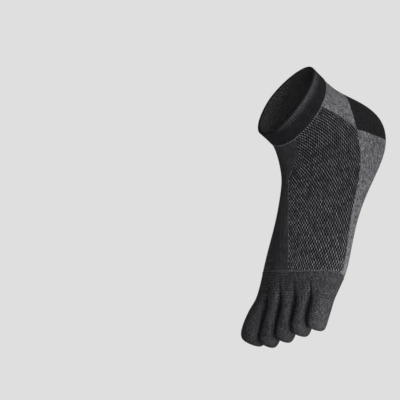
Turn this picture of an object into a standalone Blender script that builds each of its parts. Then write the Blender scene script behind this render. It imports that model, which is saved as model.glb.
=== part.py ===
"""Toe sock for a left foot: ankle-high, thirteen knitted zones of one hollow sock.

Frame: +Z up the leg, toes towards -Y, little toe towards +X. The origin lies on the inner face
of the sole, below the ankle, where the foot that holds the sock in shape stands in it.
"""
import math
from collections import namedtuple

import bmesh
import bpy
from mathutils import Vector

# Overall sizes in metres, taken over the outside of the sock.
FOOT_LENGTH = 0.250
BALL_WIDTH = 0.096
LEG_HEIGHT = 0.122

# Cloth and gaps.
WALL = 0.0018
CUFF_WALL = 0.0028
CUFF_PROUD = 0.0005
GAP = 0.0003

# The origin: its place along the foot, and its height over the lowest point of the sole, which is
# the lift of the sole's outer face there and the cloth.
ORIGIN_ALONG = 0.20 * FOOT_LENGTH
SOLE_LIFT = 0.0012
ORIGIN_UP = SOLE_LIFT + WALL

# The cage: columns round the foot, the rows over which they gather towards the toes, the levels
# of smoothing, how far the cutters reach, and the sharpest mitre of their set-back edges.
COLUMNS = 24
GATHERED_ROWS = 4
SMOOTHING = 1
REACH = 0.4
MITRE_LIMIT = 0.2

# Sections of the foot from the rim to the roots of the toes. Each has a point on the top, one on
# the side and one on the sole, seen from the side: "along" is a share of FOOT_LENGTH from the
# heel, "up" a share of LEG_HEIGHT. half, shift and ridge are shares of BALL_WIDTH: half the
# width, how far the middle lies to the outer side, and how far the crest leans over. tilt is how
# far the outer side stands up, a share of LEG_HEIGHT. round_top and round_sole are exponents, 2
# for an ellipse and more for a squarer curve.
Section = namedtuple(
    "Section",
    "name top_along top_up side_along side_up sole_along sole_up half shift ridge tilt"
    " round_top round_sole",
)
SECTIONS = (
    Section("rim", .334, 1.000, .160, .955, .000, .895, .303, -.023, .000, .015, 2.1, 1.85),
    Section("seam", .340, .864, .166, .790, .016, .745, .322, .000, .000, .000, 2.1, 1.9),
    Section("ankle", .352, .800, .172, .690, .020, .640, .338, .000, -.010, .000, 2.0, 2.1),
    Section("tendon", .376, .742, .176, .560, .006, .500, .356, .000, -.020, .000, 1.9, 2.2),
    Section("heel_back", .406, .692, .180, .400, -.012, .335, .374, .000, -.030, .000, 1.8, 2.4),
    Section("heel_turn", .438, .648, .200, .240, -.010, .134, .392, .002, -.040, .000, 1.7, 2.7),
    Section("heel_low", .470, .612, .250, .175, .072, .000, .390, .002, -.055, .000, 1.7, 2.9),
    Section("heel_front", .506, .574, .340, .175, .215, .006, .380, -.006, -.060, .000, 1.7, 2.8),
    Section("arch", .548, .528, .440, .180, .340, .032, .396, -.010, -.065, .000, 1.7, 2.6),
    Section("waist", .598, .472, .535, .175, .465, .028, .436, -.006, -.075, .000, 1.75, 2.5),
    Section("instep", .652, .415, .620, .168, .575, .008, .486, .002, -.080, .000, 1.8, 2.5),
    Section("ball", .706, .365, .690, .160, .665, .004, .514, .008, -.045, .000, 2.0, 2.6),
    Section("webs", .800, .272, .794, .135, .786, .008, .482, -.006, .000, .000, 2.3, 2.6),
)

# Toes from the outer side inwards. share is the part of the width each takes at its root; the
# tip lies at tip_along of FOOT_LENGTH, tip_side of BALL_WIDTH to the outer side and tip_up of
# LEG_HEIGHT over the sole; width and height are shares of BALL_WIDTH; web is the part of
# FOOT_LENGTH by which the roots reach ahead of the last section.
Toe = namedtuple("Toe", "name share web tip_along tip_side tip_up width height")
TOES = (
    Toe("little_toe", 0.180, -0.026, 0.900, 0.370, 0.090, 0.160, 0.200),
    Toe("fourth_toe", 0.187, -0.014, 0.932, 0.195, 0.090, 0.175, 0.195),
    Toe("third_toe", 0.183, -0.006, 0.966, 0.015, 0.092, 0.172, 0.195),
    Toe("second_toe", 0.185, 0.026, 0.997, -0.170, 0.094, 0.182, 0.200),
    Toe("big_toe", 0.265, 0.036, 1.002, -0.405, 0.100, 0.268, 0.252),
)
TOE_EXPONENT = 2.3
TOE_SWELL = 1.075
TOE_SETTLED = 0.5
SHOULDER = 0.92
WEB_REACH = 0.40

# Rings of a toe: the place from root to tip, the share of the toe's size, and the lift of the
# ring's middle as a share of BALL_WIDTH.
ToeRing = namedtuple("ToeRing", "at size lift")
TOE_RINGS = (
    ToeRing(0.25, 0.94, 0.010),
    ToeRing(0.62, 1.00, 0.012),
    ToeRing(0.88, 0.97, 0.004),
    ToeRing(1.01, 0.62, 0.000),
)

# Seams seen from the side, as shares of FOOT_LENGTH along and LEG_HEIGHT up. All lines of the
# ankle, the heel and the sole start at the heel's corner; the ankle's line ends on the cuff seam.
CUFF_SEAM = ((-.200, .745), (.060, .806), (.200, .832), (.350, .868), (.600, .930))
HEEL_CORNER = (.152, .446)
HEEL_UPPER = ((.123, .500), (.088, .550), (.037, .578), (-.080, .600))
HEEL_LOWER = ((.137, .353), (.122, .244), (.102, .116), (.062, -.120))
ANKLE_LINE = ((.150, .580), (.154, .690))
ANKLE_END = .166
SOLE_LINE = (
    (.180, .405), (.213, .341), (.258, .284), (.309, .241), (.371, .210), (.514, .172),
    (.591, .152), (.860, .140),
)
SAFE_BELOW = -0.200
SAFE_ABOVE = 1.300

# Toe seam seen from above: shares of BALL_WIDTH to the outer side and of FOOT_LENGTH along. The
# toes are cut off from the forefoot a little ahead of the webs.
TOE_SEAM = (
    (-.600, .731), (-.140, .735), (.050, .730), (.195, .722), (.342, .708), (.453, .690),
    (.600, .655),
)
TOE_ROOT_PAST_WEB = 0.024

# Edges of the plain strip on the instep, seen from the front: share of LEG_HEIGHT up, and the
# shares of BALL_WIDTH to the outer side at which its outer edge and its inner edge lie.
StripEdge = namedtuple("StripEdge", "up outer inner")
STRIP = (
    StripEdge(-.200, .060, -.230),
    StripEdge(.340, .048, -.230),
    StripEdge(.480, .006, -.232),
    StripEdge(.600, -.004, -.235),
    StripEdge(.660, .012, -.235),
    StripEdge(.700, .080, -.236),
    StripEdge(.745, .150, -.237),
    StripEdge(.870, .180, -.240),
    StripEdge(1.300, .240, -.250),
)

# Colours read from the photograph: base colour, roughness.
Finish = namedtuple("Finish", "colour roughness")
FINISHES = {
    "black_rib": Finish((0.012, 0.012, 0.014), 0.92),
    "black_knit": Finish((0.010, 0.010, 0.012), 0.94),
    "dark_mesh": Finish((0.050, 0.050, 0.055), 0.92),
    "dark_knit": Finish((0.040, 0.040, 0.044), 0.93),
    "grey_marl": Finish((0.135, 0.135, 0.145), 0.92),
    "dark_marl": Finish((0.070, 0.070, 0.076), 0.93),
}


def place(side, along, up):
    """A point from sizes in metres: to the outer side, along the foot, over the sole."""
    return Vector((side, ORIGIN_ALONG - along, up - ORIGIN_UP))


def seen_from_side(pair):
    """Shares along and up turned into metres."""
    return (pair[0] * FOOT_LENGTH, pair[1] * LEG_HEIGHT)


def shares_across():
    """The place of each top column across the roots of the toes, from +1 outside to -1 inside."""
    shares = [1.0, SHOULDER]
    edge = 1.0
    for toe in TOES:
        shares.append(edge - toe.share)
        edge -= 2.0 * toe.share
        shares.append(edge)
    shares[-1] = -SHOULDER
    shares.append(-1.0)
    return shares


def column_angles(section, blend):
    """Angles of the columns, from the outer side over the top: even at the leg, fitted to toes."""
    half_turn = COLUMNS // 2
    even = [math.pi / 2 - index * math.pi / half_turn for index in range(COLUMNS)]
    across = shares_across()
    top = [bend(share, section.round_top) for share in across]
    sole = [math.pi - bend(share, section.round_sole) for share in across]
    fitted = top + [angle - 2.0 * math.pi for angle in sole[half_turn - 1:0:-1]]
    return [flat + (toed - flat) * blend for flat, toed in zip(even, fitted)]


def bend(share, exponent):
    """The angle at which a rounded section reaches this share of its half width."""
    return math.copysign(math.asin(min(1.0, abs(share)) ** (exponent / 2.0)), share)


def section_point(section, angle):
    """One point of a section; angle 0 is the top, a quarter turn the outer side."""
    over = math.cos(angle) >= 0.0
    exponent = section.round_top if over else section.round_sole
    rise = abs(math.cos(angle)) ** (2.0 / exponent)
    reach = math.copysign(abs(math.sin(angle)) ** (2.0 / exponent), math.sin(angle))
    end_along = section.top_along if over else section.sole_along
    end_up = section.top_up if over else section.sole_up
    along = section.side_along + (end_along - section.side_along) * rise
    up = section.side_up + (end_up - section.side_up) * rise + section.tilt * reach
    side = section.half * reach + section.shift + (section.ridge * rise if over else 0.0)
    return place(side * BALL_WIDTH, along * FOOT_LENGTH, up * LEG_HEIGHT)


def web_shift(column):
    """How far a column of the last section reaches ahead, so that the webs step back outwards."""
    across = shares_across()
    half_turn = COLUMNS // 2
    share = across[column] if column <= half_turn else across[COLUMNS - column]
    edge = 1.0
    total = 0.0
    weight = 0.0
    for toe in TOES:
        middle = edge - toe.share
        edge -= 2.0 * toe.share
        pull = max(0.0, 1.0 - abs(share - middle) / WEB_REACH)
        total += toe.web * pull
        weight += pull
    return total / weight if weight else 0.0


def foot_rings():
    """All section points as rows of columns."""
    last = len(SECTIONS) - 1
    rows = []
    for index, section in enumerate(SECTIONS):
        blend = max(0.0, 1.0 - (last - index) / GATHERED_ROWS)
        row = [section_point(section, angle) for angle in column_angles(section, blend)]
        if index == last:
            row = [
                point - Vector((0.0, web_shift(column) * FOOT_LENGTH, 0.0))
                for column, point in enumerate(row)
            ]
        rows.append(row)
    return rows


OCTAGON = ((1, 1), (0, 1), (-1, 1), (-1, 0), (-1, -1), (0, -1), (1, -1), (1, 0))


def toe_loop(bottom_row, webs, index):
    """The eight root vertices of a toe, from its outer top corner over the top and back below."""
    first = 1 + 2 * index
    top = [bottom_row[first + step] for step in range(3)]
    sole = [bottom_row[COLUMNS - first - step] for step in range(3)]
    inner = bottom_row[COLUMNS // 2] if index == len(TOES) - 1 else webs[index]
    outer = bottom_row[0] if index == 0 else webs[index - 1]
    return [top[0], top[1], top[2], inner, sole[2], sole[1], sole[0], outer]


def toe_ring_points(toe, root_low, root_high, ring):
    """The eight points of one ring of a toe."""
    root = (root_low + root_high) / 2.0
    tip = place(toe.tip_side * BALL_WIDTH, toe.tip_along * FOOT_LENGTH, toe.tip_up * LEG_HEIGHT)
    forward = (tip - root).normalized()
    sideways = forward.cross(Vector((0.0, 0.0, 1.0))).normalized()
    if sideways.x < 0.0:
        sideways = -sideways
    upward = sideways.cross(forward).normalized()
    if upward.z < 0.0:
        upward = -upward
    settle = min(1.0, ring.at / TOE_SETTLED)
    root_width = root_high.x - root_low.x
    root_height = root_high.z - root_low.z
    width = root_width + (toe.width * BALL_WIDTH * TOE_SWELL - root_width) * settle
    height = root_height + (toe.height * BALL_WIDTH * TOE_SWELL - root_height) * settle
    middle = root + (tip - root) * ring.at + upward * ring.lift * BALL_WIDTH
    corner = math.cos(math.pi / 4) ** (2.0 / TOE_EXPONENT)
    points = []
    for across, rise in OCTAGON:
        pull = corner if across and rise else 1.0
        points.append(
            middle
            + sideways * (across * pull * ring.size * width / 2.0)
            + upward * (rise * pull * ring.size * height / 2.0)
        )
    return points


def cage_mesh(name):
    """The coarse open cage of the whole sock: leg, foot and five closed toes."""
    form = bmesh.new()
    rows = [[form.verts.new(point) for point in row] for row in foot_rings()]
    for upper, lower in zip(rows, rows[1:]):
        for column in range(COLUMNS):
            beside = (column + 1) % COLUMNS
            form.faces.new((upper[column], upper[beside], lower[beside], lower[column]))
    roots = rows[-1]
    webs = []
    for index in range(len(TOES) - 1):
        column = 3 + 2 * index
        webs.append(form.verts.new((roots[column].co + roots[COLUMNS - column].co) / 2.0))
    for index, toe in enumerate(TOES):
        loop = toe_loop(roots, webs, index)
        low = Vector(min(vert.co[axis] for vert in loop) for axis in range(3))
        high = Vector(max(vert.co[axis] for vert in loop) for axis in range(3))
        for ring in TOE_RINGS:
            points = toe_ring_points(toe, low, high, ring)
            ahead = [form.verts.new(point) for point in points]
            for step in range(len(loop)):
                beside = (step + 1) % len(loop)
                form.faces.new((loop[step], loop[beside], ahead[beside], ahead[step]))
            loop = ahead
        form.faces.new(loop)
    bmesh.ops.recalc_face_normals(form, faces=form.faces)
    mesh = bpy.data.meshes.new(name)
    form.to_mesh(mesh)
    form.free()
    return mesh


def prism(name, outline, axis, low, high):
    """A cutter: a closed outline drawn from the side ("x"), the front ("y") or above ("z")."""
    form = bmesh.new()
    corners = []
    for first, second in outline:
        ways = {
            "x": (low, first, second),
            "y": (first, low, second),
            "z": (first, second, low),
        }
        corners.append(form.verts.new(place(*ways[axis])))
    base = form.faces.new(corners)
    moved = bmesh.ops.extrude_face_region(form, geom=[base])
    steps = {"x": (1.0, 0.0, 0.0), "y": (0.0, -1.0, 0.0), "z": (0.0, 0.0, 1.0)}
    step = Vector(steps[axis]) * (high - low)
    verts = [item for item in moved["geom"] if isinstance(item, bmesh.types.BMVert)]
    bmesh.ops.translate(form, verts=verts, vec=step)
    bmesh.ops.recalc_face_normals(form, faces=form.faces)
    mesh = bpy.data.meshes.new(name)
    form.to_mesh(mesh)
    form.free()
    cutter = bpy.data.objects.new(name, mesh)
    cutter.hide_render = True
    cutter.display_type = "WIRE"
    cutters.objects.link(cutter)
    return cutter


def inset(outline, distance):
    """The outline with every edge moved inwards by distance; outlines run anticlockwise."""
    area = 0.0
    count = len(outline)
    for index in range(count):
        x0, y0 = outline[index]
        x1, y1 = outline[(index + 1) % count]
        area += x0 * y1 - x1 * y0
    turn = 1.0 if area > 0.0 else -1.0
    moved = []
    for index in range(count):
        before = Vector(outline[index - 1])
        here = Vector(outline[index])
        after = Vector(outline[(index + 1) % count])
        first = (here - before).normalized()
        second = (after - here).normalized()
        normal_a = Vector((-first.y, first.x)) * turn
        normal_b = Vector((-second.y, second.x)) * turn
        half = (normal_a + normal_b).normalized()
        shift = distance / max(MITRE_LIMIT, half.dot(normal_a))
        moved.append(tuple(here + half * shift))
    return moved


def cloth(name):
    """The slot of a knitted cloth as a material."""
    finish = FINISHES[name]
    material = bpy.data.materials.new(name)
    material.use_nodes = True
    shader = material.node_tree.nodes["Principled BSDF"]
    shader.inputs["Base Color"].default_value = (*finish.colour, 1.0)
    shader.inputs["Roughness"].default_value = finish.roughness
    shader.inputs["Metallic"].default_value = 0.0
    material.diffuse_color = (*finish.colour, 1.0)
    return material


def zone(name, slot, cutting, wall=WALL, proud=0.0):
    """One node: the sock's cage, smoothed, given its thickness and cut to the zone."""
    mesh = cage_mesh(name)
    mesh.materials.append(materials[slot])
    node = bpy.data.objects.new(name, mesh)
    sock.objects.link(node)
    for polygon in mesh.polygons:
        polygon.use_smooth = True
    smooth = node.modifiers.new("smooth", "SUBSURF")
    smooth.levels = SMOOTHING
    smooth.render_levels = SMOOTHING
    thick = node.modifiers.new("wall", "SOLIDIFY")
    thick.thickness = wall
    thick.offset = -1.0 + 2.0 * proud / wall
    thick.use_even_offset = False
    for cutter in cutting:
        cut = node.modifiers.new("cut", "BOOLEAN")
        cut.operation = "INTERSECT"
        cut.solver = "EXACT"
        cut.object = cutter
    return node


def toe_seam_line():
    """The toe seam seen from above, from the inner side to the outer side, in metres."""
    return [(side * BALL_WIDTH, along * FOOT_LENGTH) for side, along in TOE_SEAM]


def web_points():
    """Where each web between two toes lies, seen from above."""
    row = foot_rings()[-1]
    found = []
    for index in range(len(TOES) - 1):
        column = 3 + 2 * index
        top = row[column]
        found.append((top.x, ORIGIN_ALONG - top.y))
    return found


def slit_points(index):
    """The slit between toe index and the next one inwards, from the web to past the tips."""
    web = web_points()[index]
    outer = TOES[index]
    inner = TOES[index + 1]
    ahead = FOOT_LENGTH * min(outer.tip_along, inner.tip_along)
    outer_edge = outer.tip_side - outer.width / 2.0
    inner_edge = inner.tip_side + inner.width / 2.0
    across = (outer_edge + inner_edge) / 2.0 * BALL_WIDTH
    start = (web[0], web[1] + TOE_ROOT_PAST_WEB * FOOT_LENGTH)
    grow = (REACH - start[1]) / (ahead - web[1])
    end = (web[0] + (across - web[0]) * grow, REACH)
    return start, end


for old in list(bpy.data.objects):
    bpy.data.objects.remove(old, do_unlink=True)

sock = bpy.data.collections.new("toe_sock")
cutters = bpy.data.collections.new("toe_sock_cutters")
bpy.context.scene.collection.children.link(sock)
bpy.context.scene.collection.children.link(cutters)
cutters.hide_render = True
materials = {name: cloth(name) for name in FINISHES}

below = SAFE_BELOW * LEG_HEIGHT
above = SAFE_ABOVE * LEG_HEIGHT
half_gap = GAP / 2.0
seam = [seen_from_side(pair) for pair in CUFF_SEAM]
corner = [seen_from_side(HEEL_CORNER)]
upper = [seen_from_side(pair) for pair in HEEL_UPPER]
lower = [seen_from_side(pair) for pair in HEEL_LOWER]
sole_line = [seen_from_side(pair) for pair in SOLE_LINE]
toe_seam = toe_seam_line()


def seam_height(along):
    """Height of the cuff seam at a place along the foot."""
    for (a0, u0), (a1, u1) in zip(seam, seam[1:]):
        if along <= a1:
            return u0 + (u1 - u0) * (along - a0) / (a1 - a0)
    return seam[-1][1]


ankle_end = ANKLE_END * FOOT_LENGTH
ankle = [seen_from_side(pair) for pair in ANKLE_LINE] + [(ankle_end, seam_height(ankle_end))]
seam_behind = [point for point in seam if point[0] < ankle_end]
seam_ahead = [point for point in seam if point[0] > ankle_end]


def side_cutter(name, outline):
    """A cutter drawn from the side, all its edges set back by half a gap."""
    return prism(name, inset(outline, half_gap), "x", -REACH, REACH)


def front_cutter(name, outline):
    """A cutter drawn from the front, all its edges set back by half a gap."""
    return prism(name, inset(outline, half_gap), "y", -REACH, REACH)


def top_cutter(name, outline):
    """A cutter drawn from above, all its edges set back by half a gap."""
    return prism(name, inset(outline, half_gap), "z", -REACH, REACH)


cuff_outline = seam + [(seam[-1][0], above), (seam[0][0], above)]
ankle_outline = corner + ankle + seam_behind[::-1] + upper[::-1]
heel_outline = corner + upper + [(upper[-1][0], below), (lower[-1][0], below)] + lower[::-1]
sole_outline = corner + lower + [(lower[-1][0], below), (REACH, below)]
sole_outline += [(REACH, sole_line[-1][1])] + sole_line[::-1]
instep_outline = corner + sole_line + [(REACH, sole_line[-1][1]), (REACH, above)]
instep_outline += seam_ahead[::-1] + ankle[::-1]
rear_outline = [(-REACH, -REACH), (REACH, -REACH), (REACH, toe_seam[-1][1])]
rear_outline += toe_seam[::-1] + [(-REACH, toe_seam[0][1])]
outer_edge = [(row.outer * BALL_WIDTH, row.up * LEG_HEIGHT) for row in STRIP]
inner_edge = [(row.inner * BALL_WIDTH, row.up * LEG_HEIGHT) for row in STRIP]
strip_outline = outer_edge + inner_edge[::-1]
outer_outline = outer_edge + [(REACH, outer_edge[-1][1]), (REACH, outer_edge[0][1])]
inner_outline = inner_edge + [(-REACH, inner_edge[-1][1]), (-REACH, inner_edge[0][1])]

rear = top_cutter("rear_cutter", rear_outline)
cuff_cutter = side_cutter("cuff_cutter", cuff_outline)
ankle_cutter = side_cutter("ankle_cutter", ankle_outline)
heel_cutter = side_cutter("heel_cutter", heel_outline)
sole_cutter = side_cutter("sole_cutter", sole_outline)
instep_cutter = side_cutter("instep_cutter", instep_outline)
strip_cutter = front_cutter("strip_cutter", strip_outline)
outer_cutter = front_cutter("outer_mesh_cutter", outer_outline)
inner_cutter = front_cutter("inner_mesh_cutter", inner_outline)

zone("cuff", "black_rib", [cuff_cutter], CUFF_WALL, CUFF_PROUD)
zone("outer_mesh", "dark_mesh", [rear, instep_cutter, outer_cutter])
zone("inner_mesh", "dark_mesh", [rear, instep_cutter, inner_cutter])
zone("instep_strip", "dark_knit", [rear, instep_cutter, strip_cutter])
zone("ankle_back", "grey_marl", [ankle_cutter])
zone("heel_pocket", "black_knit", [heel_cutter])
zone("sole", "grey_marl", [rear, sole_cutter])

slits = [slit_points(index) for index in range(len(TOES) - 1)]
root_line = [(REACH, slits[0][0][1])] + [slit[0] for slit in slits] + [(-REACH, slits[-1][0][1])]
front_outline = toe_seam + [(REACH, toe_seam[-1][1])] + root_line + [(-REACH, toe_seam[0][1])]
forefoot_cutter = top_cutter("forefoot_cutter", front_outline)
zone("forefoot", "dark_marl", [forefoot_cutter])

for index, toe in enumerate(TOES):
    outer_side = [root_line[0], (REACH, REACH)]
    if index > 0:
        outer_side = list(slits[index - 1])
    inner_side = [(-REACH, REACH), root_line[-1]]
    if index < len(TOES) - 1:
        inner_side = [slits[index][1], slits[index][0]]
    toe_cutter = top_cutter(toe.name + "_cutter", outer_side + inner_side)
    zone(toe.name, "dark_marl", [toe_cutter])
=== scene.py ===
"""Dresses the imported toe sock: knitted pieces in place of its solids, a pale stage and a camera.

Laid out as an add-on and run as a script. Frame: +Z up the leg, toes towards -Y, little toe
towards +X, all sizes in metres.
"""

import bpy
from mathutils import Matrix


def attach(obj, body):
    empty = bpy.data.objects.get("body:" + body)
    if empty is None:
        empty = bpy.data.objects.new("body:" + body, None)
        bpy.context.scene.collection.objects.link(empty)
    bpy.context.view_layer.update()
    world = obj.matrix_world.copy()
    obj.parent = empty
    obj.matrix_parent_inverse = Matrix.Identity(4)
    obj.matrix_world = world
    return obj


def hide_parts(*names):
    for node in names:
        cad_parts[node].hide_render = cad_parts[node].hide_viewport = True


bl_info = {
    "name": "Toe Sock Knitting",
    "version": (1, 0, 0),
    "blender": (4, 5, 0),
    "location": "View3D > Sidebar > Toe Sock",
    "description": "Knits the outside of a toe sock over its packed solids and lights it",
    "category": "Object",
}

import math
from collections import namedtuple

import bmesh
import bpy
import numpy as np
from mathutils import Matrix, Vector

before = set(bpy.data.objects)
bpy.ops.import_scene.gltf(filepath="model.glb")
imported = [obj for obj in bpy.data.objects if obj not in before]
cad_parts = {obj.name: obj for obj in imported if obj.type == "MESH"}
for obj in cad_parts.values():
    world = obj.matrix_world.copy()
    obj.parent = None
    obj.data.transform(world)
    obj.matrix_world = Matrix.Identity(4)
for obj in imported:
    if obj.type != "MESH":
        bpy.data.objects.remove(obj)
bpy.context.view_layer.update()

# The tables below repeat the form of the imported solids, as shares of the three main sizes.
Section = namedtuple(
    "Section",
    "name top_along top_up side_along side_up sole_along sole_up half shift ridge tilt"
    " round_top round_sole",
)
SECTIONS = (
    Section("rim", .334, 1.000, .160, .955, .000, .895, .303, -.023, .000, .015, 2.1, 1.85),
    Section("seam", .340, .864, .166, .790, .016, .745, .322, .000, .000, .000, 2.1, 1.9),
    Section("ankle", .352, .800, .172, .690, .020, .640, .338, .000, -.010, .000, 2.0, 2.1),
    Section("tendon", .376, .742, .176, .560, .006, .500, .356, .000, -.020, .000, 1.9, 2.2),
    Section("heel_back", .406, .692, .180, .400, -.012, .335, .374, .000, -.030, .000, 1.8, 2.4),
    Section("heel_turn", .438, .648, .200, .240, -.010, .134, .392, .002, -.040, .000, 1.7, 2.7),
    Section("heel_low", .470, .612, .250, .175, .072, .000, .390, .002, -.055, .000, 1.7, 2.9),
    Section("heel_front", .506, .574, .340, .175, .215, .006, .380, -.006, -.060, .000, 1.7, 2.8),
    Section("arch", .548, .528, .440, .180, .340, .032, .396, -.010, -.065, .000, 1.7, 2.6),
    Section("waist", .598, .472, .535, .175, .465, .028, .436, -.006, -.075, .000, 1.75, 2.5),
    Section("instep", .652, .415, .620, .168, .575, .008, .486, .002, -.080, .000, 1.8, 2.5),
    Section("ball", .706, .365, .690, .160, .665, .004, .514, .008, -.045, .000, 2.0, 2.6),
    Section("webs", .800, .272, .794, .135, .786, .008, .482, -.006, .000, .000, 2.3, 2.6),
)
Toe = namedtuple("Toe", "name share web tip_along tip_side tip_up width height")
TOES = (
    Toe("little_toe", 0.180, -0.026, 0.900, 0.370, 0.090, 0.160, 0.200),
    Toe("fourth_toe", 0.187, -0.014, 0.932, 0.195, 0.090, 0.175, 0.195),
    Toe("third_toe", 0.183, -0.006, 0.966, 0.015, 0.092, 0.172, 0.195),
    Toe("second_toe", 0.185, 0.026, 0.997, -0.170, 0.094, 0.182, 0.200),
    Toe("big_toe", 0.265, 0.036, 1.002, -0.405, 0.100, 0.268, 0.252),
)
ToeRing = namedtuple("ToeRing", "at size lift")
TOE_RINGS = (
    ToeRing(0.25, 0.94, 0.010),
    ToeRing(0.62, 1.00, 0.012),
    ToeRing(0.88, 0.97, 0.004),
    ToeRing(1.01, 0.62, 0.000),
)
TOE_EXPONENT = 3.4
TOE_SWELL = 1.10
SHOULDER = 0.92
TOE_SETTLED = 0.5
WEB_REACH = 0.40
GATHERED_ROWS = 4
# The creases behind the slits, in metres: half width, and between which places along a slit they
# set in and run out. They lie on faces that look up, and each has its share of the full depth.
CREASE_HALF = 0.0013
CREASE_START = (-0.013, 0.002)
CREASE_END = (0.006, 0.016)
CREASE_UPWARD = (0.1, 0.6)
CREASE_SHARES = (1.0, 0.9, 0.8, 0.5)
SLIT_START = (-0.001, 0.004)
# How far round a seam line faces are cut, and how near a vertex is drawn onto the line, in metres.
CUT_REACH = 0.004
CUT_SNAP = 0.00012
COLUMNS = 24
HALF_TURN = COLUMNS // 2
SOLE_COLUMN = HALF_TURN + HALF_TURN // 2
SMOOTHING = 3
ORIGIN_ALONG = 0.20
OCTAGON = ((1, 1), (0, 1), (-1, 1), (-1, 0), (-1, -1), (0, -1), (1, -1), (1, 0))

# Seams seen from the side, as shares of the foot's length along and of the leg's height up.
CUFF_SEAM = ((-.200, .745), (.060, .806), (.200, .832), (.350, .868), (.600, .930))
HEEL_CORNER = (.152, .446)
HEEL_UPPER = ((.123, .500), (.088, .550), (.037, .578), (-.080, .600))
HEEL_LOWER = ((.137, .353), (.122, .244), (.102, .116), (.062, -.120))
ANKLE_LINE = ((.150, .580), (.154, .690))
ANKLE_END = .166
SOLE_LINE = (
    (.180, .405), (.213, .341), (.258, .284), (.309, .241), (.371, .210), (.514, .172),
    (.591, .152), (.860, .140),
)
# The toe seam seen from above, and the edges of the strip seen from the front.
TOE_SEAM = (
    (-.600, .731), (-.140, .735), (.050, .730), (.195, .722), (.342, .708), (.453, .690),
    (.600, .655),
)
StripEdge = namedtuple("StripEdge", "up outer inner")
STRIP = (
    StripEdge(-.200, .060, -.230),
    StripEdge(.340, .048, -.230),
    StripEdge(.480, .006, -.232),
    StripEdge(.600, -.004, -.235),
    StripEdge(.660, .012, -.235),
    StripEdge(.700, .080, -.236),
    StripEdge(.745, .150, -.237),
    StripEdge(.870, .180, -.240),
    StripEdge(1.300, .240, -.250),
)
ANCHOR_TOP = 0.655
REACH = 0.4
SAFE_BELOW = -0.200
SAFE_ABOVE = 1.300

# Soft square lamps: place, aim and width in metres, power in watts, spread in degrees.
Lamp = namedtuple("Lamp", "name place aim width power spread")
LAMPS = (
    Lamp("key", (0.36, -0.16, 0.10), (0.00, -0.08, 0.03), 0.26, 0.64, 180.0),
    Lamp("toe light", (0.25, -0.21, 0.040), (0.02, -0.165, 0.01), 0.10, 0.125, 60.0),
    Lamp("ankle light", (0.22, 0.26, 0.13), (0.01, 0.03, 0.06), 0.12, 0.08, 70.0),
    Lamp("inner side light", (-0.70, -0.20, 0.30), (0.00, -0.08, 0.03), 0.50, 1.1, 180.0),
    Lamp("fill", (0.90, -0.45, 0.70), (0.00, -0.08, 0.03), 0.80, 3.7, 180.0),
)
ROOM_LIGHT = 0.20
FLOOR_HALF = 6.0
FLOOR_DROP = 0.8
SENSOR = 36.0
LENS = 85.466
CAMERA_PLACE = (0.6630, -0.3567, 0.5907)
CAMERA_RIGHT = (0.59674, 0.39510, -0.69842)
CAMERA_DOWN = (0.01008, -0.87400, -0.48582)
CAMERA_AHEAD = (-0.80237, 0.28287, -0.52554)

# The bevel of the rim, as a share of the cuff's wall, and the angle past which an edge is hard.
RIM_ROUND = 0.42
HARD_ANGLE = 0.8
# A painted highlight along the rim's outer side, where the light falls: its width down the cuff,
# where it sets in towards the outer side, in metres, and how much lighter it is. Deep inside, the
# lining gets painted light too, which lifts its shade.
RIM_HIGHLIGHT_BAND = 0.007
RIM_HIGHLIGHT_SIDE = (0.008, 0.025)
RIM_HIGHLIGHT_GAIN = 3.2
DEEP_LIGHT_BAND = 0.065
DEEP_LIGHT_GAIN = 3.6
# One cell of the mesh, in shares of its pitch: half sizes of the dimple and of its painted shade,
# which stands for the dark seen through the eyelet, how their edges fade, the half width of a thread,
# where it ends along the cell, and its lean.
DIMPLE = (0.32, 0.44)
EYELET_SHADE = (0.34, 0.46)
HOLE_EDGE = (0.45, 1.05)
# Painted shade: the colour of the dark seen through an eyelet.
EYELET_SHADE_COLOUR = (0.003, 0.003, 0.003)
THREAD_EDGE = (0.10, 0.27)
THREAD_END = (0.34, 0.52)
THREAD_LEAN = 0.16

# Rows of small stitches along a seam: half sizes of a stitch and its place below the seam in
# metres, and how far it leans over.
Linking = namedtuple("Linking", "name zone pitch bead aside lean finish slot")
LINKINGS = (
    Linking(
        "linking_cuff", "cuff", 0.0026, (0.0007, 0.00055, 0.0005), 0.0009, 0.0, "cuff yarn",
        "grey_marl",
    ),
    Linking(
        "linking_toes", "toe_section", 0.0018, (0.0010, 0.00045, 0.00035), 0.0, 1.2, "toe yarn",
        "dark_marl",
    ),
)

ZONES = (
    "cuff", "outer_mesh", "inner_mesh", "instep_strip", "ankle_back", "heel_pocket", "sole",
    "toe_section",
)


def length_property(name, description, value):
    """A length that shows in the panel."""
    return bpy.props.FloatProperty(name=name, description=description, default=value, unit="LENGTH")


def colour_property(name, description, value):
    """A colour that shows in the panel."""
    return bpy.props.FloatVectorProperty(
        name=name, description=description, default=value, subtype="COLOR", size=3, min=0.0, max=1.0,
    )


class SockSizes(bpy.types.PropertyGroup):
    """Sizes of the sock and its cloth."""

    foot_length: length_property("Foot length", "From the back of the heel to the longest toe", 0.250)
    ball_width: length_property("Ball width", "Across the ball of the foot", 0.096)
    leg_height: length_property("Leg height", "From the sole to the front of the rim", 0.122)
    origin_up: length_property("Origin height", "Origin over the lowest point of the sole", 0.0030)
    wall: length_property("Wall", "Thickness of the knitted cloth", 0.0018)
    cuff_wall: length_property("Cuff wall", "Thickness of the folded cuff", 0.0028)
    cuff_proud: length_property("Cuff proud", "How far the cuff stands over the cloth below", 0.0005)
    slit: length_property("Toe slit", "Gap between two toes that lie together", 0.0003)
    crease_depth: length_property("Crease depth", "Depth of the creases behind the toe slits", 0.0020)


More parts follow.
